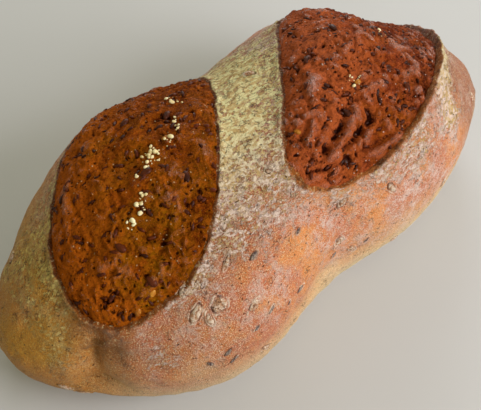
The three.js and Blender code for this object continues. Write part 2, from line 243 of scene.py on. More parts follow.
def mapDirection(bloom, along, across):
    p = along * bloom["reach"]
    q = across * mapHalfWidth(bloom, along) + bloom["bend"] * (1 - along ** 2)
    square = p * p + q * q
    dirs = bloom["middle"] * (4 - square)[:, None]
    dirs = dirs + 4 * p[:, None] * bloom["along"] + 4 * q[:, None] * bloom["across"]
    return normalised(dirs)


def roundPlace(bloom, share, angle):
    c, s = np.cos(angle), np.sin(angle)
    reach = share / mapShare(bloom, c, s)
    return reach * c, reach * s


def highLipShare(bloom, angle):
    return np.cos((angle - math.radians(bloom["highLipSide"])) / 2) ** 4


def shoulderHeight(dirs):
    height = np.zeros(len(dirs))
    for bloom in blooms:
        along, across = mapPlace(bloom, dirs)
        away = mapShare(bloom, along, across) - 1
        share = highLipShare(bloom, np.arctan2(across, along))
        height += bloom["shoulder"] * share * bump(away, loafForm["shoulderSpread"])
    return height


def creaseDepth(dirs):
    depth = np.zeros(len(dirs))
    for start, end, deep, spread in loafForm["creases"]:
        a = direction(*start)
        run = direction(*end) - a
        t = unit((dirs - a) @ run / (run @ run))
        away = np.linalg.norm(dirs - a - t[:, None] * run, axis=1)
        depth = np.maximum(depth, deep * bump(away, spread))
    return depth


def overCrust(dirs, height=0.0):
    points = bodyPoint(dirs)
    rough = loafForm["unevenness"] * unevenness(points, loafForm["unevenSpan"])
    rise = rough + shoulderHeight(dirs) - creaseDepth(dirs) + height
    return points + outward(dirs) * rise[:, None]


def onPath(path, t):
    path, t = np.array(path, float), np.asarray(t)
    if len(path) > 3:
        stops = np.linspace(0, 1, len(path))
        return np.stack([np.interp(t, stops, path[:, 0]), np.interp(t, stops, path[:, 1])], 1)
    start, middle, end = path
    control = 2 * middle - (start + end) / 2
    t = t[:, None]
    return (1 - t) ** 2 * start + 2 * t * (1 - t) * control + t ** 2 * end


def nearPath(points, pathPoints):  # distance to a path, and how far along it
    nearest = np.full(len(points), 1e9)
    place = np.zeros(len(points))
    for i, p in enumerate(pathPoints):
        away = np.linalg.norm(points - p, axis=1)
        place = np.where(away < nearest, i / (len(pathPoints) - 1), place)
        nearest = np.minimum(nearest, away)
    return nearest, place


def crumbDome(bloom, dirs, along, across):  # sunk at the rim, swollen in the middle
    share = mapShare(bloom, along, across)
    dome = unit(1 - share ** 2) ** 0.7
    drop = bloom["rimDrop"] + bloom["highLipDrop"] * highLipShare(bloom, np.arctan2(across, along))
    place, spread, depth = bloom["dip"]
    dip = depth * bump(np.hypot(along - place[0], across - place[1]), spread)
    rough = 1.1 * unevenness(bodyPoint(dirs), 26)
    return (bloom["swell"] * (1 - bloom["lean"] * across) + rough - dip) * dome - drop * (1 - dome)


def tears(bloom, points):
    height = np.zeros(len(points))
    wander = 0.8 * noise(points, 6, 5)
    for kind, sign in (("ridges", 1), ("rifts", -1)):
        for path, halfWidth, size in bloom[kind]:
            spots = onPath(path, np.linspace(0, 1, 40))
            dirs = mapDirection(bloom, spots[:, 0], spots[:, 1])
            line = overCrust(dirs, crumbDome(bloom, dirs, spots[:, 0], spots[:, 1]))
            away, place = nearPath(points, line)
            taper = np.sqrt(unit(np.sin(math.pi * place))) * (0.8 + 0.2 * noise(points, 5, 9))
            height += sign * size * taper * bump(np.maximum(away + wander, 0), halfWidth)
    return height


crumbRelief = {  # height and span in mm
    "lumps": (0.55, 8.0), "folds": (0.55, 4.6), "crumb": (0.34, 2.1), "grain": (0.16, 1.0),
    "hollows": (  # depth, span, inner and outer radius, share kept, seed
        (1.5, 10.0, 0.02, 0.17, 0.55, 20), (0.8, 3.6, 0.05, 0.3, 0.5, 40),
    ),
    "strandSpan": 3.2,
}


def fineCrumb(bloom, points, along, relief=crumbRelief):
    seed = bloom["seed"]
    warped = points + 3.0 * np.stack([noise(points, 10, seed + k) for k in (1, 2, 3)], 1)
    skewed = points + 0.9 * np.stack([noise(points, 2.4, seed + k) for k in (13, 14, 15)], 1)
    places = {"lumps": warped, "folds": warped, "crumb": warped, "grain": points}
    noises = {key: noise(place, relief[key][1], seed + 4 + k) for k, (key, place) in enumerate(places.items())}
    noises["folds"] = 2.8 * np.abs(noises["folds"]) - 0.8
    lumps, folds, crumb, grain = (relief[key][0] * value for key, value in noises.items())
    sunk = np.zeros(len(points))
    for depth, span, inner, outer, share, number in relief["hollows"]:
        nearest, second, chosen = cellNoise(skewed, span, seed + number)
        sunk += depth * (1 - ease(nearest, inner, outer)) * (chosen < share)
    calmEnd, roughEnd = bloom["foldGain"]
    gain = calmEnd + (roughEnd - calmEnd) * (1 - ease(along, -0.5, 0.25))
    fine = gain * (lumps + folds) + crumb + grain
    if bloom["strands"]:  # threads of dough pulled along the tear near its end
        lengthwise = (warped @ bloom["along"])[:, None] * bloom["along"]
        threads = 1 - 3.0 * np.abs(noise(warped - 0.78 * lengthwise, relief["strandSpan"], seed + 60))
        fine += bloom["strands"] * threads * (1 - ease(along, -0.7, -0.2))
    return fine, sunk


def crumbHeight(bloom, dirs, along, across):  # height over the crust, fine relief alone, and holes alone
    base = crumbDome(bloom, dirs, along, across)
    points = overCrust(dirs, base)
    fine, holes = fineCrumb(bloom, points, along)
    torn = tears(bloom, points)
    calm = 0.4 + 0.6 * ease(1 - mapShare(bloom, along, across), 0.0, 0.12)
    return base + torn + (fine - holes) * calm, fine + 0.8 * torn, holes


def grainShare(points, seed):  # 1 on the outline of a lying seed
    away = 2 * (points - seed["point"])
    return np.hypot(away @ seed["lengthwise"] / seed["length"], away @ seed["crosswise"] / seed["width"])


def laidSeeds(dirs, points, turn, **sizes):  # one dictionary for every seed
    out = outward(dirs)
    level = normalised(np.cross(np.broadcast_to([1.0, 0, 0], out.shape), out))
    lengthwise = level * np.cos(turn)[:, None] + np.cross(out, level) * np.sin(turn)[:, None]
    crosswise = np.cross(lengthwise, out)
    rows = dict(dir=dirs, point=points, out=out, lengthwise=lengthwise, crosswise=crosswise, **sizes)
    return [{key: value[k] for key, value in rows.items()} for k in range(len(dirs))]


# pieces and materials

def placed(name, data):
    thing = bpy.data.objects.new(name, data)
    bpy.context.scene.collection.objects.link(thing)
    return thing


def addPiece(name, points, faces, finish, values=None):
    points = (points - np.array([*loafForm["boxMiddle"], 0.0])) / 1000.0
    mesh = bpy.data.meshes.new(name)
    mesh.from_pydata(points, [], faces)
    mesh.polygons.foreach_set("use_smooth", np.ones(len(faces), dtype=bool))
    for key, value in (values or {}).items():
        layer = mesh.attributes.new(key, "FLOAT", "POINT")
        layer.data.foreach_set("value", np.asarray(value, np.float32))
    mesh.materials.append(finish)
    piece = placed(name, mesh)
    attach(piece, "root")
    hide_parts("loaf")
    print(f"{name}: {len(mesh.vertices)} points, {len(mesh.polygons)} faces")


def rgb(*tint):  # a colour as picked on screen, 0 to 255
    return (*[v / 12.92 if v <= 0.04045 else ((v + 0.055) / 1.055) ** 2.4 for v in np.divide(tint, 255)], 1.0)


class Nodes:  # short hand for wiring a material; fields are the values it is mixed by
    def __init__(self, name, grains):
        self.made = bpy.data.materials.new(name)
        self.made.use_nodes = True
        self.tree = self.made.node_tree
        self.tree.nodes.clear()
        self.spot = self.add("ShaderNodeTexCoord").outputs["Object"]
        self.fields = {key: self.noise(self.spot, *setting) for key, setting in grains.items()}

    def add(self, kind, inputs=None, **settings):
        node = self.tree.nodes.new(kind)
        for key, value in settings.items():
            setattr(node, key, value)
        for key, value in (inputs or {}).items():
            if isinstance(value, bpy.types.NodeSocket):
                self.tree.links.new(value, node.inputs[key])
            else:
                node.inputs[key].default_value = value
        return node

    def noise(self, vector, scale, detail=3.0, roughness=0.55, distortion=0.0):
        inputs = {"Vector": vector, "Scale": scale, "Detail": detail, "Roughness": roughness}
        return self.add("ShaderNodeTexNoise", {**inputs, "Distortion": distortion}).outputs["Fac"]

    def cells(self, vector, scale, output="Distance", feature="F1"):
        inputs = {"Vector": vector, "Scale": scale}
        return self.add("ShaderNodeTexVoronoi", inputs, feature=feature).outputs[output]

    def cellValue(self, vector, scale):  # one value for the whole of each cell
        return self.add("ShaderNodeSeparateColor", {"Color": self.cells(vector, scale, "Color")}).outputs["Red"]

    def warped(self, vector, scale, reach):
        swirl = self.add("ShaderNodeTexNoise", {"Vector": vector, "Scale": scale, "Detail": 2.0})
        inputs = {0: swirl.outputs["Color"], 1: (reach, reach, reach), 2: vector}
        return self.add("ShaderNodeVectorMath", inputs, operation="MULTIPLY_ADD").outputs[0]

    def stretched(self, vector, turn, share):  # drawn out along a level direction
        inputs = {"Vector": vector, "Rotation": (0, 0, math.radians(turn)), "Scale": (share, 1, 1)}
        return self.add("ShaderNodeMapping", inputs).outputs["Vector"]

    def math(self, operation, first, second=0.0):
        return self.add("ShaderNodeMath", {0: first, 1: second}, operation=operation).outputs[0]

    def minus(self, first, second):
        return self.math("SUBTRACT", first, second)

    def times(self, *factors):
        total = factors[0]
        for factor in factors[1:]:
            total = self.math("MULTIPLY", total, factor)
        return total

    def blend(self, **shares):  # the sum of some fields, each times its share
        total = None
        for key, share in shares.items():
            term = self.times(self.fields[key], share) if share != 1 else self.fields[key]
            total = self.math("ADD", total, term) if total else term
        return total

    def ramp(self, value, low, high, start=0.0, end=1.0):
        ends = {"From Min": low, "From Max": high, "To Min": start, "To Max": end}
        node = self.add("ShaderNodeMapRange", {"Value": value, **ends}, interpolation_type="SMOOTHSTEP")
        return node.outputs["Result"]

    def mix(self, share, first, second):
        return self.add("ShaderNodeMix", {0: share, 6: first, 7: second}, data_type="RGBA").outputs[2]

    def speckled(self, colour, rows, tints):  # rows: field, low and high level, share at each, tint
        for field, low, high, start, end, tint in rows:
            colour = self.mix(self.ramp(self.fields[field], low, high, start, end), colour, tints[tint])
        return colour

    def value(self, name):
        return self.add("ShaderNodeAttribute", attribute_name=name).outputs["Fac"]

    def finish(self, colour, roughness, relief, depth, specular=0.5, coat=0.0):
        inputs = {"Base Color": colour, "Roughness": roughness, "Specular IOR Level": specular,
                  "Coat Weight": coat}
        if relief is not None:
            height = self.add("ShaderNodeBump", {"Height": relief, "Strength": 1.0, "Distance": depth})
            inputs["Normal"] = height.outputs["Normal"]
        shader = self.add("ShaderNodeBsdfPrincipled", inputs)
        self.add("ShaderNodeOutputMaterial", {0: shader.outputs[0]})
        return self.made


crustLook = {
    "peach": rgb(248, 156, 84),  # near side
    "rosy": rgb(222, 126, 86),
    "brown": rgb(178, 100, 62),  # under the flour on the crown
    "tan": rgb(255, 236, 186),  # pale strip at the foot
    "olive": rgb(206, 142, 34),
    "scorch": rgb(78, 40, 18),
    "flour": rgb(255, 245, 186),
    "flourShade": rgb(222, 186, 122),
    "rosyFlour": rgb(250, 224, 212),  # thinner flour toward the near side
    "oliveFlour": rgb(236, 200, 98),
    "dust": rgb(250, 222, 210),
    "torn": rgb(140, 86, 34),  # where the crust itself is torn, on the near side
    "baked": rgb(104, 46, 14),  # the same on the far side
    "bandTurn": -53.0,  # the strip between the blooms runs this way
    "grains": {  # scale, detail, roughness
        "broad": (48, 3, 0.6), "patches": (85, 4, 0.65), "mottle": (210, 6, 0.75),
        "fine": (900, 4, 0.7), "grain": (2000, 2, 0.6),
    },
    "speckle": (
        ("mottle", 0.5, 0.72, 0.0, 0.45, "scorch"), ("fine", 0.54, 0.68, 0.0, 0.42, "scorch"),
        ("grain", 0.54, 0.64, 0.0, 0.6, "sand"), ("grain", 0.34, 0.42, 0.25, 0.0, "scorch"),
    ),
    "tornSpeckle": (("fine", 0.36, 0.46, 0.5, 0.0, "tan"), ("mottle", 0.48, 0.62, 0.0, 0.7, "scorch")),
    "relief": {"cover": 0.5, "fine": 0.9, "mottle": 0.9, "crack": -0.8, "marks": -0.7, "grain": 0.6},
    "reliefDepth": 0.0016, "specular": 0.3,
}


def crustSkin(n, tornTint, bakedTint, look=crustLook):
    flour, dust, bake, foot, olive, torn, cream = [n.value(key) for key in (
        "flour", "dust", "bake", "foot", "olive", "torn", "cream")]
    patches = n.fields["patches"]
    drawn = n.stretched(n.warped(n.spot, 420, 0.002), look["bandTurn"], 0.6)

    colour = n.mix(n.ramp(n.blend(broad=0.6, patches=0.4), 0.38, 0.6), look["peach"], look["rosy"])
    for share, tint in ((bake, "brown"), (n.times(olive, 0.9), "olive"), (n.times(foot, 0.8), "tan")):
        colour = n.mix(share, colour, look[tint])
    sand = n.mix(olive, look["tan"], look["oliveFlour"])
    colour = n.speckled(colour, look["speckle"], {**look, "sand": sand})
    colour = n.mix(n.times(foot, 0.35), colour, look["tan"])

    dusting = n.ramp(n.blend(mottle=0.5, grain=0.3, fine=0.2), 0.44, 0.56)
    dusting = n.times(dust, dusting, n.ramp(patches, 0.38, 0.58, 0.2, 1.0))
    dustTint = n.mix(n.times(olive, 0.8), look["dust"], look["oliveFlour"])
    colour = n.mix(n.times(dusting, 0.82), colour, dustTint)

    # flour in flakes, with cracks between them
    n.fields.update(plates=n.cellValue(drawn, 800), chips=n.cellValue(drawn, 1500),
                    shreds=n.noise(drawn, 380, 7, 0.82, 0.2))
    flakes = n.blend(plates=0.14, chips=0.2, shreds=0.42, patches=0.24)
    cover = n.ramp(n.minus(flakes, n.minus(0.78, n.times(flour, 0.6))), -0.06, 0.07)
    edges = n.ramp(n.cells(drawn, 620, feature="DISTANCE_TO_EDGE"), 0.01, 0.1)
    broken = n.ramp(n.noise(n.spot, 300, 3), 0.48, 0.62)
    crack = n.times(n.minus(1.0, edges), broken, n.ramp(flour, 0.2, 0.42), n.ramp(cream, 0, 1, 0.45, 1.0))
    flourTint = n.mix(n.ramp(n.blend(plates=0.5, fine=0.5), 0.3, 0.7), look["flourShade"],
                      n.mix(cream, look["rosyFlour"], look["flour"]))
    flourTint = n.mix(n.times(olive, 0.8), flourTint, look["oliveFlour"])
    colour = n.mix(n.times(cover, 0.92), colour, flourTint)
    colour = n.mix(n.times(crack, 0.66), colour, look["scorch"])

    split = n.math("ABSOLUTE", n.minus(n.noise(drawn, 240, 3, 0.6), 0.5))
    split = n.times(n.ramp(split, 0.0, 0.014, 1.0, 0.0), n.ramp(n.noise(n.spot, 150, 2), 0.54, 0.62))
    flecks = n.ramp(n.cells(drawn, 520), 0.1, 0.24, 1.0, 0.0)
    flecks = n.times(flecks, n.ramp(n.cellValue(drawn, 520), 0.72, 0.76))
    marks = n.math("MAXIMUM", n.times(split, 0.7), n.times(flecks, 0.75))
    colour = n.mix(marks, colour, look["scorch"])
    inside = n.speckled(n.mix(cream, tornTint, bakedTint), look["tornSpeckle"], look)
    n.fields.update(torn=torn, cover=cover, crack=crack, marks=marks)
    colour = n.mix(n.times(torn, n.ramp(n.blend(torn=1, fine=0.5), 0.35, 0.8)), colour, inside)
    return colour, n.ramp(cover, 0, 1, 0.5, 0.9), n.blend(**look["relief"])


def crustMaterial(name, tornTint, bakedTint, look=crustLook):
    n = Nodes(name, look["grains"])
    return n.finish(*crustSkin(n, tornTint, bakedTint), look["reliefDepth"], look["specular"])


leftCrumbLook = {
    "mid": rgb(138, 62, 8), "light": rgb(182, 92, 18), "golden": rgb(156, 98, 6),
    "deep": rgb(82, 28, 2), "holeShade": rgb(38, 11, 2), "glintTint": rgb(236, 196, 150),
    "gloss": (0.02, 0.7), "rough": (0.26, 0.6),
}
rightCrumbLook = {
    "mid": rgb(122, 46, 18), "light": rgb(182, 90, 46), "golden": rgb(160, 80, 12),
    "deep": rgb(70, 20, 8), "holeShade": rgb(34, 8, 3), "glintTint": rgb(244, 220, 210),
    "gloss": (0.03, 0.9), "rough": (0.22, 0.55),
}


crumbMarks = {  # shared by both blooms
    "grains": {"broad": (70, 3, 0.6), "fine": (820, 4, 0.7), "grain": (1900, 2, 0.6)},
    "mottling": (
        # the shade rows: painted shade toward one side of the bloom, painted light toward the other
        ("shade", 0.5, 1.0, 0.0, 0.6, "deep"), ("shade", 0.5, 0.1, 0.0, 0.95, "light"),
        ("mottle", 0.48, 0.66, 0.0, 0.8, "light"), ("mottle", 0.33, 0.47, 0.9, 0.0, "deep"),
    ),
    "speckle": (
        ("pulled", 0.52, 0.66, 0.0, 0.45, "deep"), ("pulled", 0.36, 0.46, 0.4, 0.0, "light"),
        # sunken: low crumb and hollows painted deeper, as painted shade
        ("sunken", 0.5, 1.15, 0.0, 1.0, "deep"), ("fine", 0.54, 0.68, 0.0, 0.7, "deep"),
        ("grain", 0.56, 0.68, 0.0, 0.7, "light"), ("fine", 0.34, 0.42, 0.6, 0.0, "golden"),
    ),
    # painted shade: the deepest hollows and the moats round seeds turned near black
    "hollows": (("hollow", 0.8, 1.0, 0.0, 0.8, "holeShade"),),
    # pits are painted shade: dark dots standing for tiny holes
    "pits": ((330, 0.6), (640, 0.8)),  # scale, share of the cells without one
    "relief": {"mottle": 0.9, "fine": 0.7, "pulled": -0.5, "pits": -1.0, "glints": 0.4},
    "reliefDepth": 0.0017, "grainTurn": -60.0,
}


def crumbMaterial(name, look, marks=crumbMarks):
    n = Nodes(name, marks["grains"])
    swirled = n.warped(n.spot, 260, 0.003)
    n.fields.update({key: n.value(key) for key in ("hollow", "high", "shade")})
    n.fields.update(mottle=n.noise(swirled, 230, 6, 0.72, 0.4), sunken=n.blend(hollow=1, fine=0.4),
                    pulled=n.noise(n.stretched(swirled, marks["grainTurn"], 0.3), 900, 3, 0.7))
    golden = n.times(n.value("golden"), n.ramp(n.fields["broad"], 0.35, 0.6))
    colour = n.speckled(n.mix(golden, look["mid"], look["golden"]), marks["mottling"], look)
    # raised crumb painted lighter: partly paler crumb, partly a painted highlight on the ridges
    colour = n.mix(n.times(n.fields["high"], 0.6), colour, look["light"])
    colour = n.speckled(colour, marks["speckle"], look)
    # pits: small dents painted near black, the painted shade inside tiny holes
    pits = 0.0
    for scale, share in marks["pits"]:
        n.fields["cell"] = n.cells(swirled, scale)
        dot = n.ramp(n.blend(cell=1, fine=0.3), 0.24, 0.42, 1.0, 0.0)
        pits = n.math("MAXIMUM", pits, n.times(dot, n.ramp(n.cellValue(swirled, scale), share, share + 0.04)))
    colour = n.mix(n.times(pits, 0.9), colour, look["holeShade"])
    colour = n.speckled(colour, marks["hollows"], look)
    # glints: tiny pale dots painted on as highlights of the wet crumb
    glints = n.ramp(n.cells(n.spot, 560), 0.1, 0.28, 1.0, 0.0)
    glints = n.times(glints, n.ramp(n.cellValue(n.spot, 560), 0.86, 0.87))
    colour = n.mix(n.times(glints, 0.8), colour, look["glintTint"])
    n.fields.update(pits=pits, glints=glints)
    wet = n.ramp(n.blend(grain=0.4, fine=0.3, high=0.2, broad=0.1), 0.47, 0.56)
    smooth, coarse = look["rough"]
    return n.finish(colour, n.ramp(wet, 0, 1, coarse, smooth), n.blend(**marks["relief"]), marks["reliefDepth"],
                    n.ramp(wet, 0, 1, *look["gloss"]))


def seedMaterial(name, dark, light, roughness, coat=0.0):
    n = Nodes(name, {"streak": (700, 4, 0.65), "each": (95, 1, 0.5)})
    streak = n.fields["streak"]
    colour = n.mix(n.ramp(n.blend(streak=0.5, each=0.5), 0.38, 0.62), dark, light)
    rough = n.ramp(streak, 0.3, 0.7, roughness - 0.08, roughness + 0.12)
    return n.finish(colour, rough, streak, 0.0004, 0.12, coat)


crustFinish = crustMaterial("ryeCrust", crustLook["torn"], crustLook["baked"])
lipFinishes = (crustMaterial("leftLip", rgb(160, 88, 22), rgb(134, 66, 16)),
               crustMaterial("rightLip", rgb(184, 106, 42), rgb(132, 64, 26)))
crumbFinishes = (crumbMaterial("leftCrumb", leftCrumbLook), crumbMaterial("rightCrumb", rightCrumbLook))
print("crust and crumb materials made")

goldenAngle = math.pi * (3 - math.sqrt(5))

# seeds baked into the crust: every one sits in a crack with a raised, floury edge
crustSeeds = {
    "tried": 90, "keptShare": 0.45, "length": 9.5, "width": 4.8, "thickness": 2.8,
    "clearance": 1.2, "lowest": 16.0,
    "shown": (  # place along, roll, turn, length, width, thickness, how dark
        (-0.27, -43, 114, 6.6, 2.6, 1.4, 0.9), (-0.34, -59, 116, 8.4, 3.6, 1.0, 0.25),
        (-0.16, -76, 103, 5.7, 2.6, 0.6, 0.9), (-0.29, -68, 120, 5.5, 2.6, 1.2, 0.7),
        (-0.22, -75, 121, 3.4, 1.9, 1.0, 1.0), (-0.36, -70, 105, 4.4, 2.0, 1.2, 0.9),
        (-0.47, -72, 122, 5.8, 2.2, 1.0, 0.8), (-0.46, -79, 124, 6.3, 2.2, 1.0, 0.9),
        (-0.53, -74, 38, 3.8, 1.9, 1.0, 0.8), (-0.5, -47, 127, 10.7, 5.4, 2.4, 0.2),
        (-0.43, -49, 120, 8.6, 7.6, 1.6, 0.1), (-0.45, -37, 128, 8.2, 4.8, 2.2, 0.1),
        (-0.5, -38, 116, 7.0, 5.0, 2.2, 0.1), (-0.35, -38, 130, 9.6, 2.6, 1.2, 0.15),
        (-0.1, -50, 122, 4.2, 1.8, 0.8, 0.9), (0.02, -81, 139, 4.5, 2.0, 1.0, 0.9),
        (0.04, -73, 105, 5.6, 4.4, 1.6, 0.15), (0.15, -84, 135, 4.6, 1.9, 0.8, 0.9),
        (-0.09, -22, 117, 4.2, 3.4, 1.2, 0.3), (0.08, -54, 110, 6.4, 4.0, 0.8, 0.2),
    ),
    "seedShare": 0.76, "coveredShare": 0.7,
    "reach": 1.9, "edge": 0.6, "gap": 0.7,
}


def crustSeedList(kind=crustSeeds):
    i = np.arange(kind["tried"])
    height = 1 - 2 * (i + 0.5) / kind["tried"]
    around = i * goldenAngle + 0.8 * scatter(i + 300)
    level = np.sqrt(1 - height ** 2)
    dirs = np.stack([level * np.cos(around), level * np.sin(around), height], 1)
    clear = np.minimum(*bloomShares(dirs)) > kind["clearance"]
    kept = clear & (overCrust(dirs)[:, 2] > kind["lowest"]) & (scatter(i + 400) < kind["keptShare"])
    grow = (0.75 + 0.35 * scatter(i + 500)) * kind["coveredShare"]  # what shows of the buried ones
    ruled = np.stack([math.pi * scatter(i + 600), kind["length"] * grow, kind["width"] * grow,
                      np.full(len(i), kind["thickness"] * 0.6), 0.3 * scatter(i + 650)], 1)
    shown = np.array(kind["shown"])
    dirs = np.concatenate([dirs[kept], [direction(a, r) for a, r in shown[:, :2]]])
    own = np.column_stack([np.radians(shown[:, 2]), shown[:, 3:5] * kind["seedShare"], shown[:, 5:]])
    turn, length, width, thickness, dark = np.concatenate([ruled[kept], own]).T
    return laidSeeds(dirs, overCrust(dirs), turn, length=length, width=width, thickness=thickness, dark=dark)


seedsInCrust = crustSeedList()

crustSheet = {
    "count": 146,
    "crowding": 0.5,  # draws the points up toward the crown
    "cutShare": 1.05,  # the crust stops under the lips of the blooms
    "wrinkle": 0.4, "wrinkleSpan": 9.0,
    "pucker": 0.24, "puckerSpan": 3.6,
    "blister": 0.6, "blisterSpan": 16.0,
    "flake": 0.3, "flakeSpan": 3.4,
}
dustedPatches = (  # place along, roll, radius in mm, extra flour
    (0.08, -54, 8, 0.16), (0.24, -55, 12, 0.2), (0.66, -22, 18, 0.5), (0.74, -6, 12, 0.46),
    (0.62, -44, 8, 0.3), (0.67, -43, 14, 0.16),
    (-0.64, -65, 9, 0.3), (-0.65, -53, 10, 0.16), (-0.83, -28, 20, 0.2), (-0.79, 9, 16, 0.2),
    (-0.68, 28, 22, 0.14), (-0.47, -37, 9, 0.3), (0.04, -73, 6, 0.2), (-0.64, -80, 7, 0.16),
    (0.4, -52, 14, 0.24), (-0.02, 6, 20, 0.1), (0.04, -26, 16, 0.16),
)
tornPatches = (  # place along, roll, radius in mm, share: the tear runs out here instead of ending at a lip
    (-0.735, -42, 13, 0.85), (-0.76, -33, 10, 0.7), (-0.77, -50, 8, 0.5), (-0.785, -16, 6, 0.5),
)


def fromSpots(points, spots, span, seed, wander):  # each spot's radius, share and ragged distance in turn
    for along, roll, radius, share in spots:
        away = np.linalg.norm(points - overCrust(direction(along, roll)[None])[0], axis=1)
        yield radius, share, away + wander * radius * noise(points, span, seed)


def crustValues(dirs, points, torn=0.0):  # where flour lies and how dark the bake is
    x, y, z = points.T
    left, right = bloomShares(dirs)
    band = bump(left - 1.25, 0.5) * bump(right - 1.3, 0.6)
    flour = 0.1 + 0.17 * ease(z, 50, 84) + 0.3 * band * ease(z, 62, 84)
    flour += 0.08 * bump(np.minimum(left, right) - 1.06, 0.12)
    flour += 0.12 * noise(points, 26, 21) + 0.08 * noise(points, 9, 22)
    flour += 0.08 * ease(-x, 90, 125) * ease(z, 25, 50)
    flour += band * (0.22 * ease(y, 0, 36) - 0.12 * ease(-y, 0, 30))
    for radius, share, away in fromSpots(points, dustedPatches, 8, 24, 0.3):
        flour += share * bump(away, radius)
    for radius, share, away in fromSpots(points, tornPatches, 5, 29, 0.4):
        torn = np.maximum(torn, share * bump(np.maximum(away, 0), radius))
        flour -= 0.2 * share * bump(np.maximum(away, 0), radius * 1.2)
    clear = ease(z, 14, 44)
    bake = ease(z, 66, 92) * 0.85 + 0.16 * noise(points, 30, 23) + 0.35 * ease(y, 4, 44)
    bake += 0.5 * ease(-x, 20, 80) + 1.0 * ease(x, 88, 116)
    olive = ease(-x + 0.25 * y, 78, 122) * unit(0.85 + 0.4 * noise(points, 18, 25))
    foot = (1 - ease(z + 9 * noise(points, 16, 26), 10, 50)) * (1 - ease(-x, 90, 125))
    cream = ease(y + 5 * noise(points, 12, 28), -34, 8)
    dust = 0.35 + 0.4 * ease(z, 34, 70) + 0.3 * noise(points, 20, 27)
    dust += 0.8 * ease(x, 14, 56) - 1.0 * ease(x, 78, 114) - 0.3 * ease(-x, 10, 60)
    return {"flour": unit(flour * clear), "bake": unit(bake), "olive": unit(olive), "foot": unit(foot) * 0.9,
            "dust": unit(dust) * clear, "cream": cream, "torn": torn + np.zeros(len(dirs))}


def crustRelief(points, flour, sheet=crustSheet):
    wrinkle = sheet["wrinkle"] * noise(points, sheet["wrinkleSpan"], 3)
    pucker = sheet["pucker"] * noise(points, sheet["puckerSpan"], 4)
    nearest, second, chosen = cellNoise(points, sheet["blisterSpan"], 6)
    blister = sheet["blister"] * (1 - ease(nearest, 0, 0.28)) * (chosen < 0.35)
    nearest, second, chosen = cellNoise(points, sheet["flakeSpan"], 12)
    flake = sheet["flake"] * (chosen - 0.5) * ease(second - nearest, 0.0, 0.2)
    return wrinkle + pucker + blister + flake * ease(flour, 0.15, 0.5)


def foldRelief(points):  # the crisp line of the fold at the left end, its right lobe lapping over; the second value is painted shade for the crease
    spots = onPath(loafForm["foldPath"], np.linspace(0, 1, 60))
    line = overCrust(np.array([direction(*s) for s in spots]))
    away, place = nearPath(points, line)
    taper = unit(np.sin(math.pi * unit(place * 0.85 + 0.1)))
    away = away + 0.5 * noise(points, 5, 8)
    side = points[:, 0] - np.interp(place, np.linspace(0, 1, 60), line[:, 0])
    lap = 1.8 * bump(side - 4.5, 4.0) * bump(away, 8)
    cleft = bump(np.maximum(away, 0), loafForm["foldWidth"])
    return taper * (lap - loafForm["foldDepth"] * cleft), 0.6 * taper * cleft


def seedBeds(points):  # the crust sinks under each seed, to leave room for its crack
    depth = np.zeros(len(points))
    for seed in seedsInCrust:
        close = np.linalg.norm(points - seed["point"], axis=1) < seed["length"] * 1.4
        share = grainShare(points[close], seed)
        depth[close] = np.maximum(depth[close], 1.3 * (1 - ease(share, 1.05, 1.55)))
    return depth


def quadBall(count):  # directions on a ball from the six sides of a cube
    side = np.tan(np.linspace(-1, 1, count + 1) * math.pi / 4)
    a, b = np.meshgrid(side, side, indexing="ij")
    one = np.ones_like(a)
    sheets = ((one, a, b), (-one, b, a), (b, one, a), (a, -one, b), (a, b, one), (b, a, -one))
    points = np.concatenate([np.stack(sheet, -1).reshape(-1, 3) for sheet in sheets])
    i, j = np.meshgrid(np.arange(count), np.arange(count), indexing="ij")
    corner = (i * (count + 1) + j).ravel()
    quad = np.stack([corner, corner + count + 1, corner + count + 2, corner + 1], 1)
    faces = np.concatenate([quad + k * (count + 1) ** 2 for k in range(6)])
    unique, index = np.unique(np.round(points, 6), axis=0, return_inverse=True)
    return normalised(unique), index.reshape(-1)[faces]


def makeCrust(sheet=crustSheet):
    dirs, faces = quadBall(sheet["count"])
    dirs = normalised(dirs + np.array([0, 0, sheet["crowding"]]))
    shares = np.minimum(*bloomShares(dirs))
    faces = faces[(shares[faces] > sheet["cutShare"]).any(axis=1)]
    used, index = np.unique(faces, return_inverse=True)
    dirs, faces = dirs[used], index.reshape(faces.shape)
    plain = overCrust(dirs)
    fold, cleft = foldRelief(plain)
    # the fold's cleft goes in as the torn value: the crease painted darker, as painted shade
    values = crustValues(dirs, plain, cleft)
    relief = crustRelief(plain, values["flour"]) + fold - seedBeds(plain)
    points = overCrust(dirs, relief * ease(plain[:, 2], 0, 8))
    points[:, 2] = np.maximum(points[:, 2], 0)
    addPiece("crust", points, faces, crustFinish, values)


makeCrust()

slotLook = {
    # gap: painted shade in the crack round each crust seed and in the splits across it
    "husk": rgb(196, 142, 104), "slate": rgb(96, 76, 76), "gap": rgb(84, 40, 20),
    "edge": rgb(255, 236, 216), "reliefDepth": 0.0014, "specular": 0.3,
}


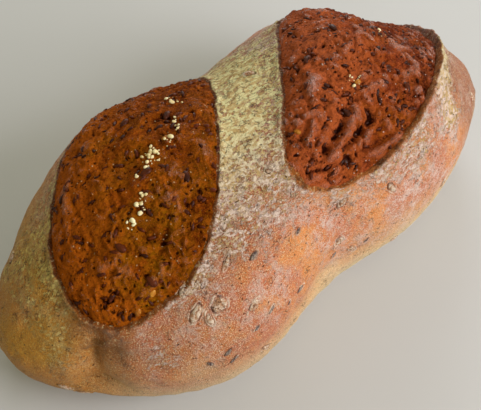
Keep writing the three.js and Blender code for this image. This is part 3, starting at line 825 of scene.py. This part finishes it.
def slotMaterial(look=slotLook):
    n = Nodes("crustSeedSkin", crustLook["grains"])
    crust, roughness, relief = crustSkin(n, crustLook["torn"], crustLook["baked"])
    edge, gap, dark = n.value("edge"), n.value("gap"), n.value("dark")
    mottle = n.noise(n.spot, 260, 5, 0.7)
    n.fields.update(dark=dark, husk=mottle)
    husk = n.mix(n.ramp(n.blend(dark=1, fine=0.5), 0.5, 1.0), look["husk"], look["slate"])
    powder = n.times(n.ramp(n.blend(fine=0.6, husk=0.4), 0.44, 0.56), n.ramp(dark, 0.2, 0.8, 0.8, 0.35))
    # split lines across the seed take the gap colour, painted shade in the splits
    split = n.ramp(n.noise(n.spot, 520, 3, 0.7), 0.36, 0.42, 0.7, 0.0)
    colour = n.mix(n.value("seed"), crust, n.mix(split, n.mix(powder, husk, look["edge"]), look["gap"]))
    shown = n.times(edge, n.ramp(n.noise(n.spot, 420, 4, 0.75), 0.38, 0.5))
    colour = n.mix(shown, colour, look["edge"])
    # the dark ring round each seed: painted shade in its crack
    colour = n.mix(n.times(gap, n.ramp(mottle, 0.3, 0.5, 0.4, 1.0)), colour, look["gap"])
    return n.finish(colour, roughness, relief, look["reliefDepth"], look["specular"])


def ringFaces(first, around):  # two triangles a step, between a ring of points and the next
    k = np.arange(around)
    inner, innerNext = first + k, first + (k + 1) % around
    outer, outerNext = inner + around, innerNext + around
    return np.concatenate([np.stack([inner, outer, outerNext], 1), np.stack([inner, outerNext, innerNext], 1)])


def makeCrustSeeds(kind=crustSeeds, rings=16, around=30):
    share = np.repeat(np.linspace(0, kind["reach"], rings + 1)[1:], around)
    angle = np.tile(np.arange(around) * 2 * math.pi / around, rings)
    u, v = (np.concatenate([[0.0], share * turn(angle)]) for turn in (np.cos, np.sin))
    share = np.hypot(u, v)
    k = np.arange(around)
    triangles = [np.stack([0 * k, 1 + k, 1 + (k + 1) % around], 1)]
    for ring in range(rings - 1):
        triangles.append(ringFaces(1 + ring * around, around))
    triangles = np.concatenate(triangles)
    points, shells, values = [], [], {}
    for number, seed in enumerate(seedsInCrust):
        flat = seed["point"] + u[:, None] * seed["lengthwise"] * seed["length"] / 2
        flat = flat + v[:, None] * seed["crosswise"] * seed["width"] / 2
        worn = share * (1 + 0.2 * noise(flat, 2.4, 70 + number))
        under, spread = nearCrust(flat, seed)
        inSeed = 1 - ease(worn, 0.88, 1.0)
        dome = seed["thickness"] / 2 * np.sqrt(unit(1 - worn ** 2))
        ragged = 0.5 + 0.5 * noise(flat, 3.0, 90 + number)
        # gap: the crack round the seed, sunk here and painted dark as shade in its material
        gap = bump(worn - 1.06, 0.12) * ease(ragged, 0.35, 0.7)
        edge = ease(worn, 1.08, 1.18) * (1 - ease(worn, 1.22, 1.55))
        edge = edge * ease(-ragged, -0.62, -0.3)
        height = dome - kind["gap"] * gap + kind["edge"] * edge - 0.7 * ease(share, 1.5, 1.9) + 0.1
        points.append(under + seed["out"] * height[:, None])
        shells.append(triangles + number * len(u))
        found = {"edge": edge, "gap": gap, "seed": inSeed, "dark": np.full(len(u), seed["dark"]), **spread}
        for key, value in found.items():
            values.setdefault(key, []).append(value)
    values = {key: np.concatenate(value) for key, value in values.items()}
    addPiece("crustSeeds", np.concatenate(points), np.concatenate(shells), slotMaterial(), values)


def nearCrust(flat, seed):  # the points of a level patch let down onto the crust round a seed
    dirs = normalised(np.repeat(seed["dir"][None], len(flat), 0))
    for _ in range(5):
        slip = flat - overCrust(dirs)
        slip -= (slip @ seed["out"])[:, None] * seed["out"]
        dirs = normalised(dirs + slip / 90.0)
    found = overCrust(dirs)
    values = crustValues(dirs, found)
    return overCrust(dirs, crustRelief(found, values["flour"]) * ease(found[:, 2], 0, 8)), values


makeCrustSeeds()

# seeds of the blooms: big dark ones, many small sunken ones and a few pale kernels
darkSeeds = {
    "perBloom": 11, "edgeRoom": 0.88, "length": 5.6, "width": 3.2, "thickness": 2.2, "plump": 0,
    "grow": (1.0, 0.0), "stray": 0.0, "lift": -0.3, "moat": 0.3, "shift": 0, "tilt": 0.0,
    "shape": (14, 12, 0.25),  # points around, steps along, how pointed
    "skin": ("darkSeedsSkin", rgb(52, 18, 6), rgb(92, 38, 12), 0.48, 0.1),  # name, tints, roughness, coat
}
flaxSeeds = {
    "perBloom": 200, "edgeRoom": 0.97, "length": 3.7, "width": 1.6, "thickness": 1.4, "plump": 0,
    "grow": (0.65, 0.6), "stray": 0.05, "lift": -0.32, "moat": 0.35, "shift": 1000, "tilt": 0.6,
    "shape": (10, 8, 0.3), "skin": ("flaxSeedsSkin", rgb(46, 14, 4), rgb(96, 38, 10), 0.48, 0.1),
}
paleKernels = {
    "spots": (((-0.1, 0.47), (-0.88, 0.01), (-0.93, -0.2)), ((-0.55, -0.63), (-0.32, -0.13))),
    "length": 4.4, "width": 3.2, "thickness": 2.4, "plump": 1, "grow": (0.75, 0.4), "lift": -0.1, "tilt": 0.0,
    "shape": (14, 10, 0.1), "skin": ("paleKernelSkin", rgb(146, 78, 16), rgb(206, 140, 48), 0.42, 0.25),
}


def seedsInCrumb(bloom, kind, along, across, turn, grow):
    dirs = mapDirection(bloom, along, across)
    points = overCrust(dirs, crumbHeight(bloom, dirs, along, across)[0])
    return laidSeeds(dirs, points, turn, length=kind["length"] * grow, width=kind["width"] * grow,
                     thickness=kind["thickness"] * grow ** kind["plump"])


def layBloomSeeds(bloom, kind):  # a sunflower spiral, each seed a little off its place
    i = np.arange(kind["perBloom"])
    shift = kind["shift"]
    share = kind["edgeRoom"] * np.sqrt((i + 0.3 + 0.4 * scatter(i + shift)) / kind["perBloom"])
    along, across = roundPlace(bloom, share, i * goldenAngle + 0.5 * scatter(i + 100 + shift))
    along = along + kind["stray"] * (scatter(i + 300 + shift) - 0.5)
    across = across + kind["stray"] * (scatter(i + 350 + shift) - 0.5)
    least, spread = kind["grow"]
    grow = least + spread * scatter(i + 150 + shift)
    return seedsInCrumb(bloom, kind, along, across, math.pi * scatter(i + 200 + shift), grow)


bloomSheet = {
    "rings": 168,
    "edgeShare": 0.985,
    "lipRings": (1.0, 1.008, 1.018, 1.03, 1.042, 1.055, 1.07, 1.085, 1.1, 1.12, 1.14),
    "lipPlace": 1.028, "lipSpread": 0.035, "foot": 0.35,
    "ragged": 0.016, "raggedSpan": 8.0, "frayed": 0.012, "frayedSpan": 2.2,
}


def ringDisc(rings):  # rings of 4, 8, 12... points about a middle point
    sizes = np.maximum(4 * np.arange(rings + 1), 1)
    start = np.concatenate([[0], np.cumsum(sizes)])
    ring = np.repeat(np.arange(rings + 1), sizes)
    angle = (np.arange(start[-1]) - start[ring]) * 2 * math.pi / sizes[ring]
    triangles = []
    for k in range(rings):
        outer = np.arange(4 * k + 4)
        quarter, step = np.divmod(outer, k + 1)
        inner = (quarter * k + step) % sizes[k]
        outerNext = (outer + 1) % (4 * k + 4)
        triangles.append(np.stack([start[k] + inner, start[k + 1] + outer, start[k + 1] + outerNext], 1))
        if k:
            inner = np.arange(4 * k)
            between = inner + inner // k + 1
            innerNext = (inner + 1) % (4 * k)
            triangles.append(np.stack([start[k] + inner, start[k + 1] + between, start[k] + innerNext], 1))
    return ring, angle, np.concatenate(triangles)


def makeBloom(name, bloom, laid, crumbFinish, lipFinish, sheet=bloomSheet):
    inner = sheet["rings"]
    shares = np.concatenate([np.linspace(0, sheet["edgeShare"], inner + 1), sheet["lipRings"]])
    ring, angle, faces = ringDisc(len(shares) - 1)
    share = shares[ring]
    dirs = mapDirection(bloom, *roundPlace(bloom, share, angle))
    plain = overCrust(dirs)
    torn = ease(share, 0.8, 1.0) * (1 - ease(share, 1.02, 1.14))
    ragged = sheet["ragged"] * noise(plain, sheet["raggedSpan"], bloom["seed"] + 30)
    frayed = sheet["frayed"] * noise(plain, sheet["frayedSpan"], bloom["seed"] + 31)
    share = share * (1 + torn * (ragged + frayed))
    along, across = roundPlace(bloom, share, angle)
    dirs = mapDirection(bloom, along, across)

    crumb = ring <= inner
    rim = ~crumb
    height, fine, holes = np.zeros((3, len(dirs)))
    height[crumb], fine[crumb], holes[crumb] = crumbHeight(bloom, dirs[crumb], along[crumb], across[crumb])
    plain = overCrust(dirs[rim])
    nominal = shares[ring[rim]]
    uneven = 0.35 * noise(plain, 9, bloom["seed"] + 32) + 0.3 * noise(plain, 2.6, bloom["seed"] + 33)
    lip = (bloom["lipHeight"] + bloom["highLip"] * highLipShare(bloom, angle[rim])) * (1 + uneven)
    lip = lip * bump(nominal - sheet["lipPlace"], sheet["lipSpread"])
    foot = sheet["foot"] * ease(nominal, 1.09, 1.14)
    height[rim] = crustRelief(plain, crustValues(dirs[rim], plain)["flour"]) + lip - foot + 0.12
    points = overCrust(dirs, height)

    # the moat sinks the crumb round each seed and, through hollow, paints a dark crescent of shade round it
    moat = np.zeros(len(dirs))
    for kind, seed in laid:
        close = np.where(crumb & (np.abs(points - seed["point"]).max(axis=1) < seed["length"]))[0]
        away = grainShare(points[close], seed)
        moat[close] = np.maximum(moat[close], kind["moat"] * bump(away - 1.05, 0.3))
    points = points - outward(dirs) * (moat * 1.2)[:, None]

    crumbFaces = (ring[faces] <= inner).all(axis=1)
    for part, chosen, finish in (("Crumb", crumbFaces, crumbFinish), ("Lip", ~crumbFaces, lipFinish)):
        used, index = np.unique(faces[chosen], return_inverse=True)
        if part == "Crumb":
            spots, along, across = points[used], along[used], across[used]
            # painted shade and light: each bloom's crumb is darkened toward one side and, by farShade, toward
            # its far end, and lightened toward the other side
            shadeSide = across + bloom["farShade"] * along + 0.2 * noise(spots, 10, 36)
            # hollow: low crumb, holes and the moats round seeds, the places painted dark as shade
            values = {"hollow": unit(-fine / 1.7 + holes + 2.0 * moat)[used], "high": unit(fine / 1.5)[used],
                      "golden": unit(0.5 - 0.7 * along + 0.4 * noise(spots, 14, 35)),
                      "shade": ease(shadeSide, -0.8, 0.8)}
        else:
            values = crustValues(dirs[used], points[used], 1 - ease(shares[ring[used]], 1.006, 1.03))
        addPiece(name + part, points[used], index.reshape(-1, 3), finish, values)


bloomSeeds = [[(kind, seed) for kind in (darkSeeds, flaxSeeds) for seed in layBloomSeeds(bloom, kind)]
              for bloom in blooms]
makeBloom("leftBloom", leftBloom, bloomSeeds[0], crumbFinishes[0], lipFinishes[0])
makeBloom("rightBloom", rightBloom, bloomSeeds[1], crumbFinishes[1], lipFinishes[1])


def grainShape(around, steps, point=0.0):  # a closed grain, one unit long, wide and thick
    t = np.linspace(0, math.pi, steps + 1)[1:-1]
    a = np.arange(around) * 2 * math.pi / around
    tt, aa = np.meshgrid(t, a, indexing="ij")
    radius = np.sin(tt) * (1 + point * np.cos(tt))
    body = np.stack([radius * np.cos(aa), np.cos(tt), radius * np.sin(aa)], -1).reshape(-1, 3) / 2
    points = np.concatenate([body, [[0, 0.5, 0], [0, -0.5, 0]]])
    k = np.arange(around)
    step, top, last = (k + 1) % around, len(body), (len(t) - 1) * around
    sides = [ringFaces(row * around, around) for row in range(len(t) - 1)]
    ends = [np.stack([k, step, 0 * k + top], 1), np.stack([last + step, last + k, 0 * k + top + 1], 1)]
    return points, np.concatenate(sides + ends)


def layGrains(name, kind, seeds):
    base, faces = grainShape(*kind["shape"])
    points, shells = [], []
    for i, seed in enumerate(seeds):
        lean = kind["tilt"] * (scatter(i * 7 + 3) - 0.5)
        lengthwise = seed["lengthwise"] * math.cos(lean) + seed["out"] * math.sin(lean)
        crosswise = normalised(np.cross(lengthwise, seed["out"]))
        up = np.cross(crosswise, lengthwise)
        made = seed["point"] + seed["out"] * kind["lift"] * seed["thickness"]
        made = made + base[:, :1] * seed["width"] * crosswise + base[:, 1:2] * seed["length"] * lengthwise
        points.append(made + base[:, 2:] * seed["thickness"] * up)
        shells.append(faces + i * len(base))
    addPiece(name, np.concatenate(points), np.concatenate(shells), seedMaterial(*kind["skin"]))


for name, kind in (("darkSeeds", darkSeeds), ("flaxSeeds", flaxSeeds)):
    layGrains(name, kind, [seed for laid in bloomSeeds for its, seed in laid if its is kind])


def makeKernels(kind=paleKernels):
    laid = []
    least, spread = kind["grow"]
    for bloom, spots in zip(blooms, kind["spots"]):
        i = np.arange(len(spots)) + bloom["seed"]
        grow = least + spread * scatter(i + 900)
        laid += seedsInCrumb(bloom, kind, *np.array(spots).T, math.pi * scatter(i + 910), grow)
    layGrains("paleKernels", kind, laid)


makeKernels()

flourCrumbs = {  # pale crumbs sprinkled over the blooms, in the places they gather
    "runs": (  # for each bloom: across, along, spread, how many
        ((0.52, 0.28, 0.04, 6), (0.63, 0.22, 0.03, 4), (0.58, 0.03, 0.03, 5), (0.6, -0.05, 0.03, 6),
         (0.5, -0.13, 0.04, 9), (0.33, -0.14, 0.04, 12), (0.35, -0.21, 0.05, 12), (0.27, -0.2, 0.05, 10),
         (0.25, -0.26, 0.03, 7), (0.16, -0.27, 0.02, 2), (0.17, -0.39, 0.04, 9), (0.12, -0.43, 0.04, 9),
         (0.0, -0.49, 0.04, 9)),
        ((-0.23, -0.31, 0.03, 4), (-0.14, -0.33, 0.04, 8), (0.2, 0.1, 0.08, 4)),
    ),
    "grow": (0.5, 1.8), "length": 1.3, "width": 1.0, "thickness": 0.8, "plump": 1, "lift": 0.2, "tilt": 1.2,
    "shape": (7, 5), "skin": ("flourCrumb", rgb(226, 200, 140), rgb(250, 240, 200), 0.75),
}


def sprinkleFlour(kind=flourCrumbs):
    laid = []
    least, spread = kind["grow"]
    for bloom, runs in zip(blooms, kind["runs"]):
        for number, (across, along, reach, count) in enumerate(runs):
            i = np.arange(count) + 40 * number + bloom["seed"]
            grow = least + spread * scatter(i + 830) ** 3
            along, across = (at + reach * (2 * scatter(i + k) - 1) for at, k in ((along, 810), (across, 820)))
            laid += seedsInCrumb(bloom, kind, along, across, math.pi * scatter(i + 840), grow)
    layGrains("flourCrumbs", kind, laid)


sprinkleFlour()

floorLook = {
    "reach": 3.0, "pale": rgb(200, 199, 202), "shade": rgb(194, 193, 195), "cloud": (7, 3), "roughness": 0.9,
    "specular": 0.2,
}


def makeFloor(look=floorLook):
    r = look["reach"]
    mesh = bpy.data.meshes.new("floor")
    mesh.from_pydata([(-r, -r, 0), (r, -r, 0), (r, r, 0), (-r, r, 0)], [], [(0, 1, 2, 3)])
    n = Nodes("paleFloor", {"cloud": look["cloud"]})
    colour = n.mix(n.fields["cloud"], look["pale"], look["shade"])
    mesh.materials.append(n.finish(colour, look["roughness"], None, 0.0, look["specular"]))
    floor = placed("floor", mesh)


makeFloor()

lights = {  # place, aim, size, power, tint
    "window": ((0.38, -0.66, 0.53), (0.0, 0.0, 0.05), 0.5, 7.6, (1.0, 0.98, 1.0)),
    "farRight": ((0.56, 0.66, 0.36), (0.3, 0.2, 0.0), 0.4, 4.0, (0.95, 0.98, 1.0)),
}
skyLight = {"Color": (1.0, 0.98, 0.66, 1.0), "Strength": 0.4}

for name, (place, aim, size, power, tint) in lights.items():
    data = bpy.data.lights.new(name, "AREA")
    data.size, data.energy, data.color = size, power, tint
    lamp = placed(name, data)
    lamp.location = place
    lamp.rotation_euler = (Vector(aim) - lamp.location).to_track_quat("-Z", "Y").to_euler()
world = bpy.data.worlds.new("studio")
world.use_nodes = True
for key, value in skyLight.items():
    world.node_tree.nodes["Background"].inputs[key].default_value = value
bpy.context.scene.world = world
bpy.context.scene.view_settings.view_transform = "Standard"

cameraSetup = {
    "azimuth": -36.6, "elevation": 57.41, "distance": 347.85,  # mm from the target
    "target": (-14.96, -5.1, 40.0), "fieldOfView": 38.0, "sensor": 36.0, "clip": (0.01, 20.0),
}


def makeCamera(setup=cameraSetup):
    a, e = math.radians(setup["azimuth"]), math.radians(setup["elevation"])
    back = Vector((math.sin(a) * math.cos(e), -math.cos(a) * math.cos(e), math.sin(e)))
    target = (Vector(setup["target"]) - Vector((*loafForm["boxMiddle"], 0))) / 1000
    data = bpy.data.cameras.new("camera")
    data.sensor_width = setup["sensor"]
    data.lens = setup["sensor"] / 2 / math.tan(math.radians(setup["fieldOfView"] / 2))
    data.clip_start, data.clip_end = setup["clip"]
    camera = placed("camera", data)
    camera.location = target + back * setup["distance"] / 1000
    camera.rotation_euler = (-back).to_track_quat("-Z", "Y").to_euler()
    bpy.context.scene.camera = camera


makeCamera()
print("floor, lights and camera set")
